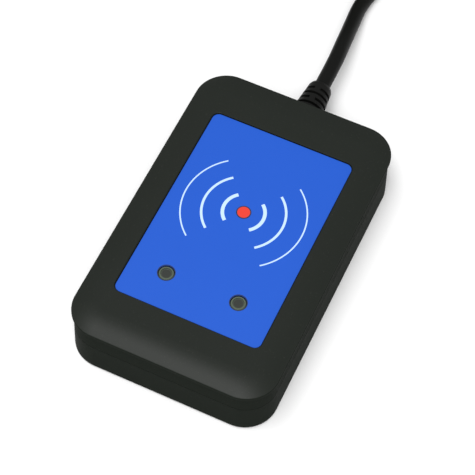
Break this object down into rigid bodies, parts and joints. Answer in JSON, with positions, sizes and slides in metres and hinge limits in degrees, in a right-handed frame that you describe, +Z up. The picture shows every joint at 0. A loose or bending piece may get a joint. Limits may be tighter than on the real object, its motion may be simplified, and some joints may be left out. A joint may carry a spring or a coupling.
{
  "type": "RFID card reader",
  "caption": "Flat desktop card reader: black two-shell housing, blue front label with wave marks, two indicator lights, and a USB lead coiled behind it.",
  "frame": {"origin": "on the table, under the middle of the housing", "axes": "+X to the right seen from above with the cable at the back, +Y towards the cable (the housing's long side), +Z up"},
  "size_m": [0.091, 0.2037, 0.0222],
  "materials": {
    "housing_top": "satin moulded",
    "housing_bottom": "satin moulded",
    "label_blue": "satin printed film",
    "adhesive": "plain",
    "paper_label": "satin film",
    "clear_pipe": "clear smoked",
    "screw_steel": "black oxide",
    "foot_rubber": "matt",
    "board": "solder mask",
    "copper": "enamelled",
    "foam": "foam",
    "chip_black": "matt",
    "can_steel": "satin",
    "led_body": "glossy",
    "ceramic_part": "matt",
    "resistor_black": "matt",
    "connector_white": "satin",
    "lead_wires": "insulated",
    "relief_black": "satin",
    "cable_black": "satin",
    "tie_black": "satin",
    "plug_black": "satin moulded",
    "plug_metal": "nickel plated",
    "plug_plastic": "white",
    "gold_contact": "gold plated"
  },
  "bodies": {
    "root": {"upper_cover": "housing_top", "lower_case": "housing_bottom", "front_label": "label_blue", "label_adhesive": "adhesive", "rating_label": "paper_label", "light_pipe_left": "clear_pipe", "light_pipe_right": "clear_pipe", "case_screws": "screw_steel", "board_screws": "screw_steel", "rubber_foot_front_left": "foot_rubber", "rubber_foot_front_right": "foot_rubber", "rubber_foot_rear_left": "foot_rubber", "rubber_foot_rear_right": "foot_rubber", "main_board": "board", "hf_antenna_track": "copper", "lf_antenna_coil": "copper", "coil_spacer": "foam", "controller_chip": "chip_black", "rf_transceiver": "chip_black", "voltage_regulator": "chip_black", "buzzer": "chip_black", "crystal": "can_steel", "led_left": "led_body", "led_right": "led_body", "board_capacitors": "ceramic_part", "board_resistors": "resistor_black", "cable_header": "connector_white", "crimp_housing": "connector_white", "cable_leads": "lead_wires", "strain_relief": "relief_black", "cable_jacket_end": "cable_black", "usb_cable": "cable_black", "usb_cable_coil": "cable_black", "cable_tie": "tie_black", "plug_grip": "plug_black", "plug_shell": "plug_metal", "plug_insert": "plug_plastic", "plug_contacts": "gold_contact"}
  },
  "joints": []
}
